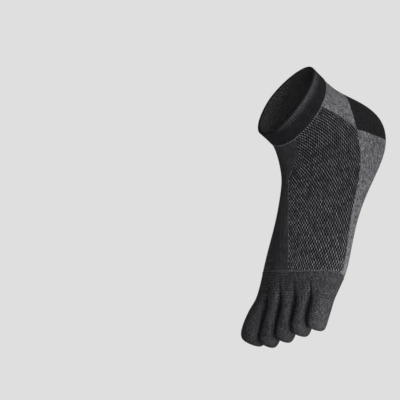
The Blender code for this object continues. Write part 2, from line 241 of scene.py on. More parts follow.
class SockKnit(bpy.types.PropertyGroup):
    """Pitches of the knitted patterns."""

    wale: length_property("Stitch width", "Width of one stitch of the sole and heel", 0.0020)
    course: length_property("Stitch height", "Height of one stitch of the sole and heel", 0.0016)
    toe_wale: length_property("Toe stitch width", "Width of one stitch of the toes", 0.0025)
    toe_course: length_property("Toe stitch height", "Height of one stitch of the toes", 0.0019)
    strip_rib: length_property("Strip rib pitch", "Between two ribs of the instep strip", 0.0019)
    rib: length_property("Rib pitch", "Between two ribs of the cuff", 0.0026)
    cell_width: length_property("Eyelet pitch across", "Between two eyelets of a row", 0.00256)
    cell_height: length_property("Eyelet pitch along", "Between two rows of eyelets", 0.00255)
    eyelet_depth: length_property("Eyelet depth", "Depth of an eyelet under the threads", 0.0007)


class SockColours(bpy.types.PropertyGroup):
    """Colours of the yarns and of the backdrop."""

    black_low: colour_property("Black yarn, low", "Furrows of cuff and heel", (0.0078, 0.0078, 0.0086))
    black_high: colour_property("Black yarn, high", "Crowns of cuff and heel", (0.0180, 0.0180, 0.0200))
    heel_low: colour_property("Heel yarn, low", "Furrows of the heel", (0.012, 0.012, 0.013))
    heel_high: colour_property("Heel yarn, high", "Crowns of the heel", (0.032, 0.032, 0.035))
    # The lining is dark yarn whose colours are lifted as painted light, since the inside of the sock lies in
    # shade.
    lifted_lining_low: colour_property("Lining, low", "Furrows of the inner face", (0.034, 0.034, 0.036))
    lifted_lining_high: colour_property("Lining, high", "Crowns of the inner face", (0.056, 0.056, 0.060))
    strip_low: colour_property("Strip yarn, low", "Furrows of the strip", (0.015, 0.015, 0.0165))
    strip_high: colour_property("Strip yarn, high", "Crowns of the strip", (0.046, 0.046, 0.050))
    ground: colour_property("Mesh ground", "Cloth between the threads of the mesh", (0.018, 0.018, 0.020))
    thread: colour_property("Light thread", "Slanting threads of the mesh", (0.135, 0.135, 0.143))
    grey_low: colour_property("Grey marl, low", "Darker fibres of the sole", (0.064, 0.064, 0.069))
    grey_high: colour_property("Grey marl, high", "Lighter fibres of the sole", (0.285, 0.285, 0.302))
    toe_low: colour_property("Toe marl, low", "Darker fibres of the toes", (0.028, 0.028, 0.031))
    toe_high: colour_property("Toe marl, high", "Lighter fibres of the toes", (0.080, 0.080, 0.086))
    cuff_yarn: colour_property("Cuff linking yarn", "Stitches below the cuff", (0.160, 0.160, 0.168))
    toe_yarn: colour_property("Toe linking yarn", "Stitches of the toe seam", (0.066, 0.066, 0.071))
    backdrop: colour_property("Backdrop", "Floor and surroundings", (0.738, 0.738, 0.738))


def sizes():
    """The sizes as they stand in the panel."""
    return bpy.context.scene.toe_sock_sizes


def knit():
    """The pitches as they stand in the panel."""
    return bpy.context.scene.toe_sock_knit


def colours():
    """The colours as they stand in the panel."""
    return bpy.context.scene.toe_sock_colours


def place(side, along, up):
    """A point from sizes in metres: to the outer side, along the foot, over the sole."""
    return Vector((side, ORIGIN_ALONG * sizes().foot_length - along, up - sizes().origin_up))


def seen_from_side(pair):
    """Shares along and up turned into metres."""
    return (pair[0] * sizes().foot_length, pair[1] * sizes().leg_height)


def shares_across():
    """The place of each top column across the roots of the toes, from +1 outside to -1 inside."""
    shares = [1.0, SHOULDER]
    edge = 1.0
    for toe in TOES:
        shares.append(edge - toe.share)
        edge -= 2.0 * toe.share
        shares.append(edge)
    shares[-1] = -SHOULDER
    shares.append(-1.0)
    return shares


def bend(share, exponent):
    """The angle at which a rounded section reaches this share of its half width."""
    return math.copysign(math.asin(min(1.0, abs(share)) ** (exponent / 2.0)), share)


def column_angles(section, blend):
    """Angles of the columns, from the outer side over the top: even at the leg, fitted to toes."""
    even = [math.pi / 2 - index * math.pi / HALF_TURN for index in range(COLUMNS)]
    across = shares_across()
    top = [bend(share, section.round_top) for share in across]
    sole = [math.pi - bend(share, section.round_sole) for share in across]
    fitted = top + [angle - 2.0 * math.pi for angle in sole[HALF_TURN - 1:0:-1]]
    return [flat + (toed - flat) * blend for flat, toed in zip(even, fitted)]


def section_point(section, angle):
    """One point of a section; angle 0 is the top, a quarter turn the outer side."""
    over = math.cos(angle) >= 0.0
    exponent = section.round_top if over else section.round_sole
    rise = abs(math.cos(angle)) ** (2.0 / exponent)
    reach = math.copysign(abs(math.sin(angle)) ** (2.0 / exponent), math.sin(angle))
    end_along = section.top_along if over else section.sole_along
    end_up = section.top_up if over else section.sole_up
    along = section.side_along + (end_along - section.side_along) * rise
    up = section.side_up + (end_up - section.side_up) * rise + section.tilt * reach
    side = section.half * reach + section.shift + (section.ridge * rise if over else 0.0)
    size = sizes()
    return place(side * size.ball_width, along * size.foot_length, up * size.leg_height)


def web_shift(column):
    """How far a column of the last section reaches ahead, so that the webs step back outwards."""
    across = shares_across()
    share = across[column] if column <= HALF_TURN else across[COLUMNS - column]
    edge = 1.0
    total = 0.0
    weight = 0.0
    for toe in TOES:
        middle = edge - toe.share
        edge -= 2.0 * toe.share
        pull = max(0.0, 1.0 - abs(share - middle) / WEB_REACH)
        total += toe.web * pull
        weight += pull
    return total / weight if weight else 0.0


def section_rows():
    """All section points as rows of columns, from the rim to the roots of the toes."""
    last = len(SECTIONS) - 1
    rows = []
    for index, section in enumerate(SECTIONS):
        blend = max(0.0, 1.0 - (last - index) / GATHERED_ROWS)
        row = [section_point(section, angle) for angle in column_angles(section, blend)]
        if index == last:
            ahead = sizes().foot_length
            row = [
                point - Vector((0.0, web_shift(column) * ahead, 0.0))
                for column, point in enumerate(row)
            ]
        rows.append(row)
    return rows


def strip_edge(up, which):
    """How far to the outer side an edge of the strip lies at a height over the sole."""
    size = sizes()
    heights = [row.up * size.leg_height for row in STRIP]
    across = [getattr(row, which) * size.ball_width for row in STRIP]
    return float(np.interp(up, heights, across))


def wale_anchor(height):
    """How far to the outer side the wale that runs along the strip's outer edge lies."""
    up = min(height + sizes().origin_up, ANCHOR_TOP * sizes().leg_height)
    return strip_edge(up, "outer")


def wales_of(row):
    """Length round a row from the strip's outer edge: outwards positive, one value a column.

    The last value is that of the middle of the sole when it is reached from the inner side.
    """
    count = len(row)
    steps = [(row[(column + 1) % count] - row[column]).length for column in range(count)]
    start = 0.0
    run = 0.0
    for column in range(HALF_TURN):
        here = row[column]
        there = row[column + 1]
        gap_here = here.x - wale_anchor(here.z)
        gap_there = there.x - wale_anchor(there.z)
        if gap_here > 0.0 >= gap_there:
            start = run + steps[column] * gap_here / (gap_here - gap_there)
        run += steps[column]
    inwards = [start]
    for column in range(SOLE_COLUMN):
        inwards.append(inwards[-1] - steps[column])
    outwards = []
    run = start
    for column in range(count - 1, SOLE_COLUMN - 1, -1):
        run += steps[column]
        outwards.append(run)
    return inwards[:SOLE_COLUMN] + outwards[::-1] + [inwards[SOLE_COLUMN]]


def toe_ring_points(toe, low, high, ring):
    """The eight points of one ring of a toe."""
    size = sizes()
    root = (low + high) / 2.0
    tip = place(
        toe.tip_side * size.ball_width, toe.tip_along * size.foot_length, toe.tip_up * size.leg_height,
    )
    forward = (tip - root).normalized()
    sideways = forward.cross(Vector((0.0, 0.0, 1.0))).normalized()
    if sideways.x < 0.0:
        sideways = -sideways
    upward = sideways.cross(forward).normalized()
    if upward.z < 0.0:
        upward = -upward
    settle = min(1.0, ring.at / TOE_SETTLED)
    width = (high.x - low.x) * (1.0 - settle) + toe.width * size.ball_width * TOE_SWELL * settle
    height = (high.z - low.z) * (1.0 - settle) + toe.height * size.ball_width * TOE_SWELL * settle
    middle = root + (tip - root) * ring.at + upward * ring.lift * size.ball_width
    corner = math.cos(math.pi / 4) ** (2.0 / TOE_EXPONENT)
    points = []
    for across, rise in OCTAGON:
        pull = corner if across and rise else 1.0
        points.append(
            middle
            + sideways * (across * pull * ring.size * width / 2.0)
            + upward * (rise * pull * ring.size * height / 2.0)
        )
    return points


def extrude_loop(form, loop, points):
    """Extrudes a closed loop of vertices to new places and returns the new loop and its faces."""
    edges = [
        form.edges.get((loop[index], loop[(index + 1) % len(loop)])) for index in range(len(loop))
    ]
    made = bmesh.ops.extrude_edge_only(form, edges=edges)["geom"]
    fresh = {item for item in made if isinstance(item, bmesh.types.BMVert)}
    faces = [item for item in made if isinstance(item, bmesh.types.BMFace)]
    ahead = []
    for vert, point in zip(loop, points):
        twin = next(edge.other_vert(vert) for edge in vert.link_edges if edge.other_vert(vert) in fresh)
        twin.co = point
        ahead.append(twin)
    return ahead, faces


def write_uv(face, layer, table):
    """Gives a face's corners their place in the knit, from a table of vertex to place."""
    for loop in face.loops:
        loop[layer].uv = table[loop.vert]


def mesh_of(form, name):
    """Turns a bmesh into a mesh and lets the bmesh go."""
    mesh = bpy.data.meshes.new(name)
    form.to_mesh(mesh)
    form.free()
    return mesh


def object_of(data, name):
    """A new object for a mesh, lamp or camera, linked to the scene."""
    made = bpy.data.objects.new(name, data)
    bpy.context.scene.collection.objects.link(made)
    return made


def shaped_mesh(carrier):
    """The mesh of an object with its modifiers applied; the object is taken away."""
    bpy.context.view_layer.update()
    graph = bpy.context.evaluated_depsgraph_get()
    mesh = bpy.data.meshes.new_from_object(carrier.evaluated_get(graph))
    bpy.data.objects.remove(carrier)
    return mesh


def sock_cage():
    """The coarse open cage of the whole sock, with the knit's wales and courses as its UVs."""
    form = bmesh.new()
    layer = form.loops.layers.uv.new("knit")
    rows = section_rows()
    made = bmesh.ops.create_circle(form, cap_ends=False, segments=COLUMNS, radius=1.0)
    loop = list(made["verts"])
    for vert, point in zip(loop, rows[0]):
        vert.co = point
    course = 0.0
    wales = wales_of(rows[0])
    for row, before in zip(rows[1:], rows):
        steps = [(row[column] - before[column]).length for column in range(1, HALF_TURN // 2)]
        next_course = course + sum(steps) / len(steps)
        next_wales = wales_of(row)
        ahead, faces = extrude_loop(form, loop, row)
        spots = {}
        for column in range(COLUMNS):
            spots[loop[column]] = (column, course, wales)
            spots[ahead[column]] = (column, next_course, next_wales)
        for face in faces:
            columns = [spots[vert][0] for vert in face.verts]
            inner = max(columns) == SOLE_COLUMN and min(columns) > 0
            table = {}
            for vert in face.verts:
                column, height, across = spots[vert]
                table[vert] = (across[COLUMNS if inner and column == SOLE_COLUMN else column], height)
            write_uv(face, layer, table)
        loop = ahead
        course = next_course
        wales = next_wales
    webs = []
    for index in range(len(TOES) - 1):
        column = 3 + 2 * index
        bridge = form.edges.new((loop[column], loop[COLUMNS - column]))
        webs.append(bmesh.utils.edge_split(bridge, loop[column], 0.5)[1])
    for index, toe in enumerate(TOES):
        grow_toe(form, layer, loop, webs, index, toe, course, wales)
    bmesh.ops.recalc_face_normals(form, faces=form.faces)
    return form


def ordered_mesh(form, name):
    """Rebuilds a bmesh as a mesh with its faces in order of their corners, the same in each run."""
    layer = form.loops.layers.uv["knit"]
    form.verts.index_update()
    rows = []
    for face in form.faces:
        corners = [(loop.vert.index, loop[layer].uv.x, loop[layer].uv.y) for loop in face.loops]
        first = corners.index(min(corners))
        rows.append((corners[first:] + corners[:first], face.material_index))
    rows.sort()
    faces = [[corner[0] for corner in corners] for corners, number in rows]
    mesh = bpy.data.meshes.new(name)
    mesh.from_pydata([vert.co for vert in form.verts], [], faces)
    places = mesh.uv_layers.new(name="knit").data
    places.foreach_set("uv", [part for corners, number in rows for corner in corners for part in corner[1:]])
    mesh.polygons.foreach_set("material_index", [number for corners, number in rows])
    form.free()
    return mesh


def grow_toe(form, layer, roots, webs, index, toe, course, wales):
    """Extrudes one toe from its eight root vertices and closes its tip."""
    first = 1 + 2 * index
    inner = roots[HALF_TURN] if index == len(TOES) - 1 else webs[index]
    outer = roots[0] if index == 0 else webs[index - 1]
    top = [roots[first + step] for step in range(3)]
    under = [roots[COLUMNS - first - step] for step in (2, 1, 0)]
    loop = top + [inner] + under + [outer]
    low = Vector(min(vert.co[axis] for vert in loop) for axis in range(3))
    high = Vector(max(vert.co[axis] for vert in loop) for axis in range(3))
    around = [wales[first]]
    for step in range(len(loop)):
        around.append(around[-1] - (loop[(step + 1) % len(loop)].co - loop[step].co).length)
    middle = (low + high) / 2.0
    for ring in TOE_RINGS:
        points = toe_ring_points(toe, low, high, ring)
        centre = sum(points, Vector()) / len(points)
        next_course = course + (centre - middle).length
        ahead, faces = extrude_loop(form, loop, points)
        for face in faces:
            face.material_index = index + 1
            steps = sorted({loop.index(vert) for vert in face.verts if vert in loop})
            wraps = steps == [0, len(loop) - 1]
            table = {}
            for step in steps:
                wale = around[len(loop)] if wraps and step == 0 else around[step]
                table[loop[step]] = (wale, course)
                table[ahead[step]] = (wale, next_course)
            write_uv(face, layer, table)
        loop = ahead
        course = next_course
        middle = centre
    cap = bmesh.ops.contextual_create(form, geom=[
        form.edges.get((loop[step], loop[(step + 1) % len(loop)])) for step in range(len(loop))
    ])["faces"][0]
    cap.material_index = index + 1
    centre = sum((vert.co for vert in loop), Vector()) / len(loop)
    for corner in cap.loops:
        corner[layer].uv = (around[1] + corner.vert.co.x - centre.x, course + corner.vert.co.z - centre.z)


def web_points():
    """Where each web between two toes lies, seen from above: to the outer side and along."""
    row = section_rows()[-1]
    return [(row[3 + 2 * index].x, row[3 + 2 * index].y) for index in range(len(TOES) - 1)]


def slit_lines():
    """The slits between the toes seen from above: a point at the web and a direction."""
    size = sizes()
    lines = []
    for index, (side, depth) in enumerate(web_points()):
        outer = TOES[index]
        inner = TOES[index + 1]
        ahead = place(0.0, size.foot_length * min(outer.tip_along, inner.tip_along), 0.0).y
        across = (outer.tip_side - outer.width / 2.0 + inner.tip_side + inner.width / 2.0) / 2.0
        way = np.array((across * size.ball_width - side, ahead - depth))
        lines.append((np.array((side, depth)), way / np.linalg.norm(way)))
    return lines


def vertex_array(mesh):
    """The places of a mesh's vertices as an array."""
    spots = np.zeros(len(mesh.vertices) * 3)
    mesh.vertices.foreach_get("co", spots)
    return spots.reshape(-1, 3)


def normal_array(mesh):
    """The normals of a mesh's vertices as an array."""
    ways = np.zeros(len(mesh.vertices) * 3)
    mesh.vertex_normals.foreach_get("vector", ways)
    return ways.reshape(-1, 3)


def step_up(value, low, high):
    """A smooth step from 0 at low to 1 at high."""
    share = np.clip((value - low) / (high - low), 0.0, 1.0)
    return share * share * (3.0 - 2.0 * share)


def settle_toes(mesh):
    """Flattens the toes where they lie together and presses the creases behind the slits."""
    size = sizes()
    spots = vertex_array(mesh)
    ways = normal_array(mesh)
    belongs = np.zeros(len(mesh.vertices), int)
    for polygon in mesh.polygons:
        for index in polygon.vertices:
            belongs[index] = max(belongs[index], polygon.material_index)
    for index, (start, way) in enumerate(slit_lines()):
        outer_way = np.array((-way[1], way[0]))
        flat = spots[:, :2] - start
        along = flat @ way
        outwards = flat @ outer_way
        crease = np.exp(-(outwards / CREASE_HALF) ** 2) * step_up(along, *CREASE_START)
        crease *= (1.0 - step_up(along, *CREASE_END)) * step_up(ways[:, 2], *CREASE_UPWARD)
        spots -= ways * (crease * size.crease_depth * CREASE_SHARES[index])[:, None]
        half = size.slit / 2.0
        push = np.where((belongs == index + 1) & (outwards < half), half - outwards, 0.0)
        push += np.where((belongs == index + 2) & (outwards > -half), -half - outwards, 0.0)
        push *= step_up(along, *SLIT_START)
        spots[:, :2] += push[:, None] * outer_way
    mesh.vertices.foreach_set("co", spots.ravel())
    mesh.update()


def cut_along(form, line, axis):
    """Cuts the faces near a line that is drawn from the side ("x"), the front or above."""
    for first, second in zip(line, line[1:]):
        if axis == "x":
            a, b = place(0.0, *first), place(0.0, *second)
        elif axis == "y":
            a, b = place(first[0], 0.0, first[1]), place(second[0], 0.0, second[1])
        else:
            a, b = place(first[0], first[1], 0.0), place(second[0], second[1], 0.0)
        sight = Vector({"x": (1, 0, 0), "y": (0, 1, 0), "z": (0, 0, 1)}[axis])
        way = b - a
        length = way.length
        way.normalize()
        normal = sight.cross(way)
        near = []
        for face in form.faces:
            centre = face.calc_center_median() - a
            beside = -CUT_REACH < centre.dot(way) < length + CUT_REACH
            if beside and abs(centre.dot(normal)) < CUT_REACH:
                near.append(face)
        edges = list(dict.fromkeys(edge for face in near for edge in face.edges))
        verts = list(dict.fromkeys(vert for face in near for vert in face.verts))
        bmesh.ops.bisect_plane(
            form, geom=verts + edges + near, dist=CUT_SNAP, plane_co=a, plane_no=normal,
            use_snap_center=True, clear_outer=False, clear_inner=False,
        )


def inside(outline, first, second):
    """Whether a point lies inside a closed outline."""
    found = False
    count = len(outline)
    for index in range(count):
        x0, y0 = outline[index]
        x1, y1 = outline[(index + 1) % count]
        if (y0 > second) != (y1 > second):
            if first < x0 + (second - y0) / (y1 - y0) * (x1 - x0):
                found = not found
    return found


def zone_outlines():
    """The zones' outlines seen from the side, and the lines between them, in metres."""
    size = sizes()
    seam = [seen_from_side(pair) for pair in CUFF_SEAM]
    corner = [seen_from_side(HEEL_CORNER)]
    upper = [seen_from_side(pair) for pair in HEEL_UPPER]
    lower = [seen_from_side(pair) for pair in HEEL_LOWER]
    end = ANKLE_END * size.foot_length
    seam_up = float(np.interp(end, [point[0] for point in seam], [point[1] for point in seam]))
    ankle = [seen_from_side(pair) for pair in ANKLE_LINE] + [(end, seam_up)]
    sole_line = [seen_from_side(pair) for pair in SOLE_LINE]
    below = SAFE_BELOW * size.leg_height
    above = SAFE_ABOVE * size.leg_height
    behind = [point for point in seam if point[0] < end]
    return {
        "lines": [seam, corner + upper, corner + lower, corner + ankle, corner + sole_line],
        "cuff": seam + [(seam[-1][0], above), (seam[0][0], above)],
        "ankle_back": corner + ankle + behind[::-1] + upper[::-1],
        "heel_pocket": corner + upper + [(upper[-1][0], below), (lower[-1][0], below)] + lower[::-1],
        "sole": corner + lower + [(lower[-1][0], below), (REACH, below), (REACH, sole_line[-1][1])]
        + sole_line[::-1],
    }


def toe_seam():
    """The toe seam seen from above, to the outer side and along, in metres."""
    size = sizes()
    return [(side * size.ball_width, along * size.foot_length) for side, along in TOE_SEAM]


def sock_skin():
    """The sock's whole outer face, fine, settled and cut along its seams; made once and kept."""
    kept = bpy.data.meshes.get("sock_skin")
    if kept:
        return kept
    coarse = ordered_mesh(sock_cage(), "sock_cage")
    for index in range(len(TOES) + 1):
        coarse.materials.append(None)
    carrier = object_of(coarse, "sock_cage")
    smooth = carrier.modifiers.new("smooth", "SUBSURF")
    smooth.levels = SMOOTHING
    smooth.render_levels = SMOOTHING
    fine = shaped_mesh(carrier)
    settle_toes(fine)
    outlines = zone_outlines()
    form = bmesh.new()
    form.from_mesh(fine)
    for line in outlines["lines"]:
        cut_along(form, line, "x")
    size = sizes()
    for which in ("outer", "inner"):
        line = [(getattr(row, which) * size.ball_width, row.up * size.leg_height) for row in STRIP]
        cut_along(form, line, "y")
    cut_along(form, toe_seam(), "z")
    layer = form.faces.layers.int.new("zone")
    for face in form.faces:
        face[layer] = ZONES.index(zone_of(face.calc_center_median(), outlines))
        face.smooth = True
    skin = mesh_of(form, "sock_skin")
    skin.materials.clear()
    return skin


def zone_of(point, outlines):
    """The name of the zone that a point of the outer face lies in."""
    size = sizes()
    along = ORIGIN_ALONG * size.foot_length - point.y
    up = point.z + size.origin_up
    seam = toe_seam()
    if along > np.interp(point.x, [spot[0] for spot in seam], [spot[1] for spot in seam]):
        return "toe_section"
    for name in ("cuff", "ankle_back", "heel_pocket", "sole"):
        if inside(outlines[name], along, up):
            return name
    if point.x > strip_edge(up, "outer"):
        return "outer_mesh"
    if point.x < strip_edge(up, "inner"):
        return "inner_mesh"
    return "instep_strip"


def zone_form(name):
    """One zone of the skin as a bmesh."""
    form = bmesh.new()
    form.from_mesh(sock_skin())
    layer = form.faces.layers.int["zone"]
    wanted = ZONES.index(name)
    others = [face for face in form.faces if face[layer] != wanted]
    bmesh.ops.delete(form, geom=others, context="FACES")
    return form


def uv_array(mesh):
    """One place in the knit for each vertex of a mesh that has no seam in its UVs."""
    corners = np.zeros(len(mesh.loops) * 2)
    mesh.uv_layers["knit"].data.foreach_get("uv", corners)
    owners = np.zeros(len(mesh.loops), int)
    mesh.loops.foreach_get("vertex_index", owners)
    spots = np.zeros((len(mesh.vertices), 2))
    spots[owners] = corners.reshape(-1, 2)
    return spots


def finish_piece(name, mesh, thickness, offset, material, nodes, sharp=50.0, rim=1):
    """Gives an open piece of cloth its wall and its finish, and sets it in place of its solids."""
    for polygon in mesh.polygons:
        polygon.material_index = 0
    mesh.materials.clear()
    mesh.materials.append(None)
    mesh.materials.append(None)
    draft = object_of(mesh, name + "_draft")
    wall = draft.modifiers.new("wall", "SOLIDIFY")
    wall.thickness = thickness
    wall.offset = offset
    wall.use_even_offset = False
    wall.use_rim = True
    wall.material_offset = 1
    wall.material_offset_rim = rim
    solid = shaped_mesh(draft)
    solid.name = name
    solid.materials[0] = material
    solid.materials[1] = finishes()["lining"]
    solid.set_sharp_from_angle(angle=math.radians(sharp))
    piece = object_of(solid, name)
    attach(piece, "root")
    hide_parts(*nodes)
    return piece


def plain_zone(name, zone, material, nodes):
    """A zone of plain knit as one finished piece."""
    mesh = mesh_of(zone_form(zone), name)
    return finish_piece(name, mesh, sizes().wall, -1.0, material, nodes)


def eyelet_shape(across, along):
    """How deep each place lies in an eyelet, from 0 on the threads to 1 in the middle."""
    pitch = knit()
    p = across / pitch.cell_width
    q = along / pitch.cell_height
    row = np.floor(q)
    p = p + 0.5 * np.mod(row, 2.0)
    fx = p - np.floor(p) - 0.5
    fy = q - row - 0.5
    far = np.sqrt((fx / DIMPLE[0]) ** 2 + (fy / DIMPLE[1]) ** 2)
    return 1.0 - step_up(far, *HOLE_EDGE)


def mesh_zone(name, zone, material, nodes):
    """A zone of open mesh: a finer face with a dimple at every eyelet."""
    form = zone_form(zone)
    bmesh.ops.subdivide_edges(form, edges=form.edges[:], cuts=2, use_grid_fill=True)
    mesh = mesh_of(form, name)
    for polygon in mesh.polygons:
        polygon.use_smooth = True
    spots = vertex_array(mesh)
    ways = normal_array(mesh)
    places = uv_array(mesh)
    depth = eyelet_shape(places[:, 0], places[:, 1]) * knit().eyelet_depth
    spots -= ways * depth[:, None]
    mesh.vertices.foreach_set("co", spots.ravel())
    mesh.update()
    return finish_piece(name, mesh, sizes().wall, -1.0, material, nodes, sharp=70.0)


class Wire:
    """One output of a shader node, so that shader maths is written as sums on it."""

    def __init__(self, graph, socket):
        self.graph = graph
        self.socket = socket

    def maths(self, operation, other=None, flipped=False):
        """Adds one Math node that starts from this wire, or from the other value where flipped."""
        values = [self] if other is None else [self, other]
        inputs = dict(enumerate(values[::-1] if flipped else values))
        return self.graph.node("ShaderNodeMath", {"operation": operation}, inputs)

    def __add__(self, other):
        return self.maths("ADD", other)

    __radd__ = __add__

    def __mul__(self, other):
        return self.maths("MULTIPLY", other)

    __rmul__ = __mul__

    def __sub__(self, other):
        return self.maths("SUBTRACT", other)

    def __rsub__(self, other):
        return self.maths("SUBTRACT", other, flipped=True)

    def __truediv__(self, other):
        return self.maths("DIVIDE", other)

    def __rtruediv__(self, other):
        return self.maths("DIVIDE", other, flipped=True)

    def __pow__(self, other):
        return self.maths("POWER", other)

    def __rpow__(self, other):
        return self.maths("POWER", other, flipped=True)

    def __abs__(self):
        return self.maths("ABSOLUTE")

    def floor(self):
        """The whole number below."""
        return self.maths("FLOOR")

    def fract(self):
        """What is left over the whole number below."""
        return self.maths("FRACT")

    def wave(self):
        """A sine whose period is one."""
        return (self * (2.0 * math.pi)).maths("SINE")

    def ramp(self, low, high):
        """A smooth step from 0 at low to 1 at high."""
        return self.graph.node(
            "ShaderNodeMapRange", {"interpolation_type": "SMOOTHSTEP"},
            {"Value": self, "From Min": low, "From Max": high, "To Min": 0.0, "To Max": 1.0},
        )


class Graph:
    """The nodes of one material."""

    def __init__(self, name):
        self.material = bpy.data.materials.new(name)
        self.material.use_nodes = True
        self.tree = self.material.node_tree
        self.shader = self.tree.nodes["Principled BSDF"]

    def node(self, kind, settings=None, inputs=None, output=0):
        """Makes any node: its settings first, then the values or links of its sockets."""
        made = self.tree.nodes.new(kind)
        for name, value in (settings or {}).items():
            setattr(made, name, value)
        for name, value in (inputs or {}).items():
            self.feed(made.inputs[name], value)
        return Wire(self, made.outputs[output])

    def feed(self, socket, value):
        """Links or sets one socket."""
        if isinstance(value, Wire):
            self.tree.links.new(value.socket, socket)
        else:
            socket.default_value = value

    def split(self, vector):
        """The three numbers of a vector."""
        made = self.tree.nodes.new("ShaderNodeSeparateXYZ")
        self.feed(made.inputs[0], vector)
        return [Wire(self, output) for output in made.outputs]

    def place_in_knit(self):
        """The place in the knit: length across and length along, in metres."""
        return self.split(self.node("ShaderNodeUVMap", {"uv_map": "knit"}))[:2]

    def join(self, first, second, third=0.0):
        """Three numbers as one vector."""
        return self.node("ShaderNodeCombineXYZ", None, {0: first, 1: second, 2: third})

    def dice(self, first, second, seed=0.0):
        """A random number for each pair of whole numbers."""
        spot = self.join(first, second, seed)
        return self.node("ShaderNodeTexWhiteNoise", {"noise_dimensions": "3D"}, {"Vector": spot})

    def noise(self, spot, scale, detail=2.0, roughness=0.5):
        """Smooth noise at a place."""
        return self.node(
            "ShaderNodeTexNoise", {"noise_dimensions": "3D"},
            {"Vector": spot, "Scale": scale, "Detail": detail, "Roughness": roughness},
        )

    def fuzz(self, across, along, many_across, many_along):
        """Fine noise of single fibres, by how many lie in a metre across and along."""
        return self.noise(self.join(across * many_across, along * many_along), 1.0, 2.0, 0.6)

    def solid_place(self):
        """The place on the object, in metres."""
        return self.node("ShaderNodeTexCoord", None, None, output="Object")

    def blend(self, share, first, second):
        """A colour between two colours."""
        made = self.tree.nodes.new("ShaderNodeMix")
        made.data_type = "RGBA"
        self.feed(made.inputs["Factor"], share)
        for socket, value in zip([item for item in made.inputs if item.type == "RGBA"], (first, second)):
            self.feed(socket, value if isinstance(value, Wire) else (*value, 1.0))
        return Wire(self, next(item for item in made.outputs if item.type == "RGBA"))

    def scale(self, colour, share):
        """A colour made darker or lighter by a number."""
        return self.node("ShaderNodeVectorMath", {"operation": "SCALE"}, {0: colour, "Scale": share})

    def surface(self, colour, height, depth, roughness=0.95):
        """Feeds the shader: colour, relief of a depth in metres and roughness."""
        self.feed(self.shader.inputs["Base Color"], colour)
        self.feed(self.shader.inputs["Roughness"], roughness)
        self.shader.inputs["Specular IOR Level"].default_value = 0.06
        relief = self.node("ShaderNodeBump", None, {"Strength": 1.0, "Distance": depth, "Height": height})
        self.feed(self.shader.inputs["Normal"], relief)
        return self.material


def stitches(across, along, wale, course):
    """Relief of plain knit: slanting legs that meet in a V; also the two numbers of each leg."""
    a = across / wale
    lean = abs(a.fract() - 0.5)
    rows = along / course + lean * 1.5
    legs = (rows.wave() * 0.5 + 0.5) ** 0.7
    crown = abs(a.wave()) ** 0.5
    return legs * crown, (a * 2.0).floor(), rows.floor()


def plain_knit(name, low, high, wale, course, spread, shade, rough, depth=0.0005):
    """Plain marled knit between two colours.

    spread is how far stitches differ, shade how much painted shade darkens their furrows, rough how marled
    the yarn is.
    """
    graph = Graph(name)
    across, along = graph.place_in_knit()
    relief, stitch, row = stitches(across, along, wale, course)
    cloud = graph.noise(graph.solid_place(), 650.0, 2.0, 0.5)
    fine = graph.fuzz(across, along, 1500.0, 1100.0)
    chance = graph.dice(stitch, row)
    mix = (chance - 0.5) * spread + (cloud - 0.5) * (1.2 * rough) + (fine - 0.5) * (1.2 * rough) + 0.5
    ground = graph.blend(mix.ramp(0.0, 1.0), low, high)
    # Painted shade: the furrows between the stitches are darkened.
    colour = graph.scale(ground, relief * shade + (1.15 - shade))
    return graph.surface(colour, relief + fine * 0.3, depth)


def rib_knit(name, low, high, rib, course, highlight_band=0.0, deep=0.0, depth=0.0006):
    """Ribs that run along the leg, with painted shade in their furrows; a painted highlight may follow the
    rim, and painted light may lift the shade far inside.
    """
    graph = Graph(name)
    across, along = graph.place_in_knit()
    ribs = abs((across / (rib * 2.0)).wave()) ** 0.7
    rows = ((along / course + abs((across / rib).fract() - 0.5) * 1.2).wave()) * 0.5 + 0.5
    fine = graph.fuzz(across, along, 2200.0, 1200.0)
    cloud = graph.noise(graph.solid_place(), 150.0, 3.0, 0.6)
    relief = ribs * (rows * 0.35 + 0.65) + fine * 0.2
    # Part painted shade: the colour darkens in the furrows between ribs and courses, and also varies with
    # the fibres.
    mix = (ribs * 0.5 + rows * 0.25 + (fine - 0.5) * 1.0 + (cloud - 0.5) * 1.0).ramp(0.0, 1.0)
    colour = graph.blend(mix, low, high)
    if highlight_band:
        outer, ahead, up = graph.split(graph.solid_place())
        # Painted highlight: lighter near the rim, towards the outer side where the light falls.
        rim = (1.0 - along.ramp(0.0, highlight_band)) * outer.ramp(*RIM_HIGHLIGHT_SIDE)
        colour = graph.scale(colour, rim * RIM_HIGHLIGHT_GAIN + 1.0)
    if deep:
        # Painted light: the lining is made lighter far into the sock, which lifts the shade there.
        colour = graph.scale(colour, along.ramp(0.0, deep) * DEEP_LIGHT_GAIN + 1.0)
    return graph.surface(colour, relief, depth)


